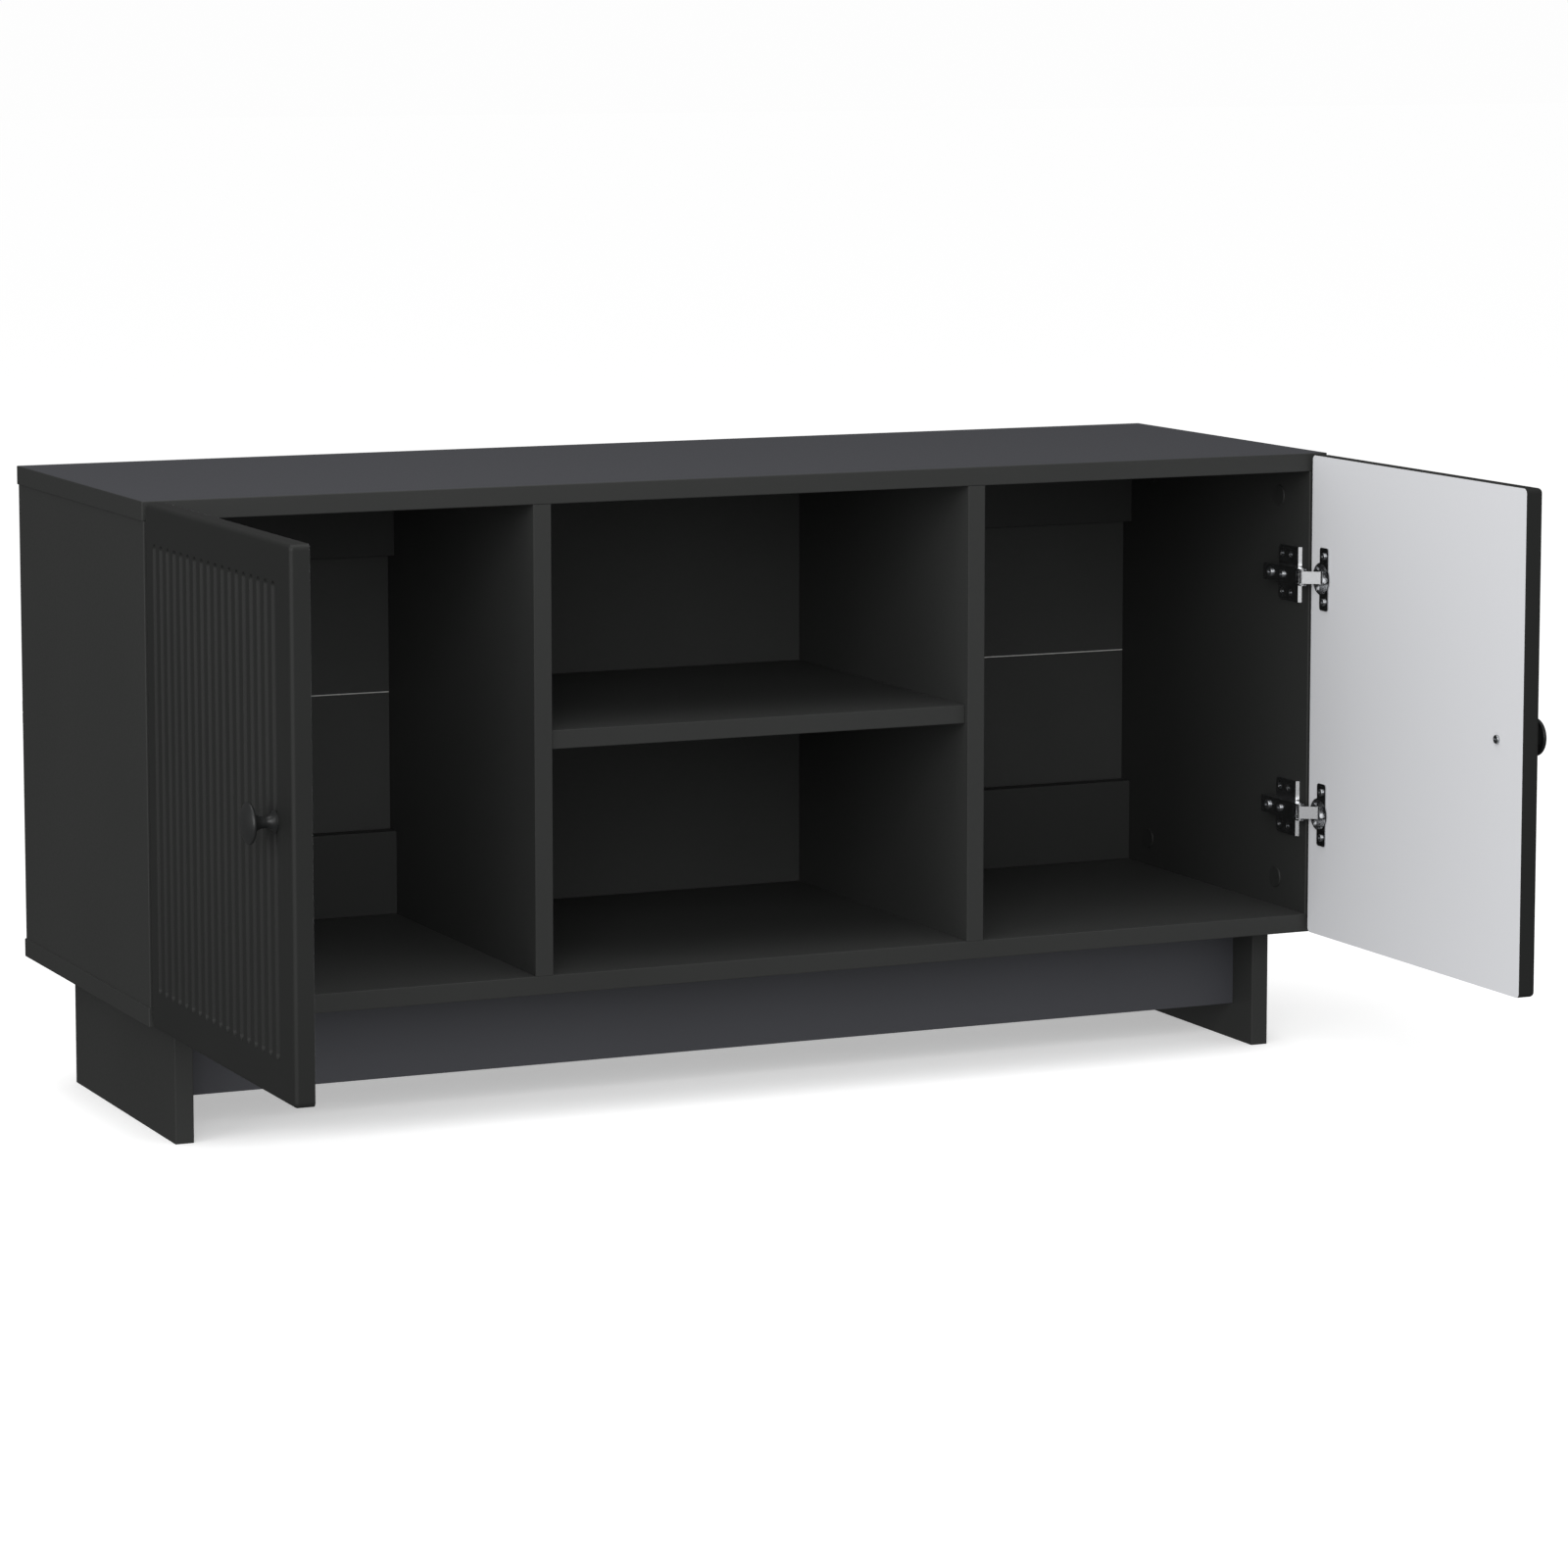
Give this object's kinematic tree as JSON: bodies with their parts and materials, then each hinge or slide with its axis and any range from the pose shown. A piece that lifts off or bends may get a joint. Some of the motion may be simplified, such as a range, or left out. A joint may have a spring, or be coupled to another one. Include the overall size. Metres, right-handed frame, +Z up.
{
  "type": "media cabinet",
  "caption": "Low black media cabinet with an open middle, a shelf, and two fluted doors on concealed hinges that swing over the side compartments.",
  "frame": {"origin": "on the floor, at the middle of the whole object's plan with both doors standing open at a right angle", "axes": "+X to the right seen from the front, +Y from the front to the back, +Z up"},
  "size_m": [1.068, 0.6636, 0.5],
  "materials": {
    "black_melamine": "matte black melamine on particle board",
    "black_hardboard": "matte black lacquered hardboard",
    "black_door": "matte black foil on milled fibreboard, white inside face",
    "black_knob": "matte black lacquer",
    "black_plastic": "matte black moulded plastic",
    "white_strip": "matte white",
    "cast_zinc": "raw die-cast",
    "beech": "raw turned beech",
    "nickel_screws": "bright zinc plate",
    "nickel_hinge": "polished nickel plate"
  },
  "bodies": {
    "root": {"top_panel": "black_melamine", "bottom_panel": "black_melamine", "left_side_panel": "black_melamine", "right_side_panel": "black_melamine", "left_divider": "black_melamine", "right_divider": "black_melamine", "centre_shelf": "black_melamine", "left_lower_back_rail": "black_melamine", "left_upper_back_rail": "black_melamine", "right_lower_back_rail": "black_melamine", "right_upper_back_rail": "black_melamine", "left_leg_panel": "black_melamine", "right_leg_panel": "black_melamine", "front_plinth": "black_melamine", "rear_base_rail": "black_melamine", "lower_back_panel": "black_hardboard", "upper_back_panel": "black_hardboard", "back_joining_strip": "white_strip", "cam_locks": "cast_zinc", "cam_bolts": "cast_zinc", "cam_covers": "black_plastic", "wooden_dowels": "beech", "shelf_pins": "nickel_screws", "back_panel_screws": "nickel_screws", "hinge_plate_screws": "nickel_screws", "hinge_adjusting_screws": "nickel_screws", "hinge_arm_pins": "nickel_screws", "left_lower_hinge_plate": "nickel_hinge", "left_lower_hinge_arm": "nickel_hinge", "left_upper_hinge_plate": "nickel_hinge", "left_upper_hinge_arm": "nickel_hinge", "right_lower_hinge_plate": "nickel_hinge", "right_lower_hinge_arm": "nickel_hinge", "right_upper_hinge_plate": "nickel_hinge", "right_upper_hinge_arm": "nickel_hinge"},
    "left_links": {"left_lower_hinge_link": "nickel_hinge", "left_upper_hinge_link": "nickel_hinge"},
    "right_links": {"right_lower_hinge_link": "nickel_hinge", "right_upper_hinge_link": "nickel_hinge"},
    "left_door": {"left_door": "black_door", "left_knob": "black_knob", "left_knob_screw": "nickel_screws", "left_cup_screws": "nickel_screws", "left_cup_pins": "nickel_screws", "left_lower_hinge_cup": "nickel_hinge", "left_upper_hinge_cup": "nickel_hinge"},
    "right_door": {"right_door": "black_door", "right_knob": "black_knob", "right_knob_screw": "nickel_screws", "right_cup_screws": "nickel_screws", "right_cup_pins": "nickel_screws", "right_lower_hinge_cup": "nickel_hinge", "right_upper_hinge_cup": "nickel_hinge"}
  },
  "joints": [
    {"name": "left_link_swing", "type": "hinge", "parent": "root", "child": "left_links", "pos_m": [-0.486, -0.0032, 0.3], "axis": [0, 0, 1], "range_deg": [-32.6, 0]},
    {"name": "left_door_swing", "type": "hinge", "parent": "left_links", "child": "left_door", "pos_m": [-0.4975, -0.01225, 0.3], "axis": [0, 0, 1], "range_deg": [0, 122.3]},
    {"name": "right_link_swing", "type": "hinge", "parent": "root", "child": "right_links", "pos_m": [0.486, -0.0032, 0.3], "axis": [0, 0, 1], "range_deg": [0, 32.6]},
    {"name": "right_door_swing", "type": "hinge", "parent": "right_links", "child": "right_door", "pos_m": [0.4975, -0.01225, 0.3], "axis": [0, 0, 1], "range_deg": [-122.3, 0]}
  ],
  "couplings": [
    {"joint": "left_link_swing", "follows": "left_door_swing", "ratio": -0.26413},
    {"joint": "right_link_swing", "follows": "right_door_swing", "ratio": -0.26413}
  ]
}
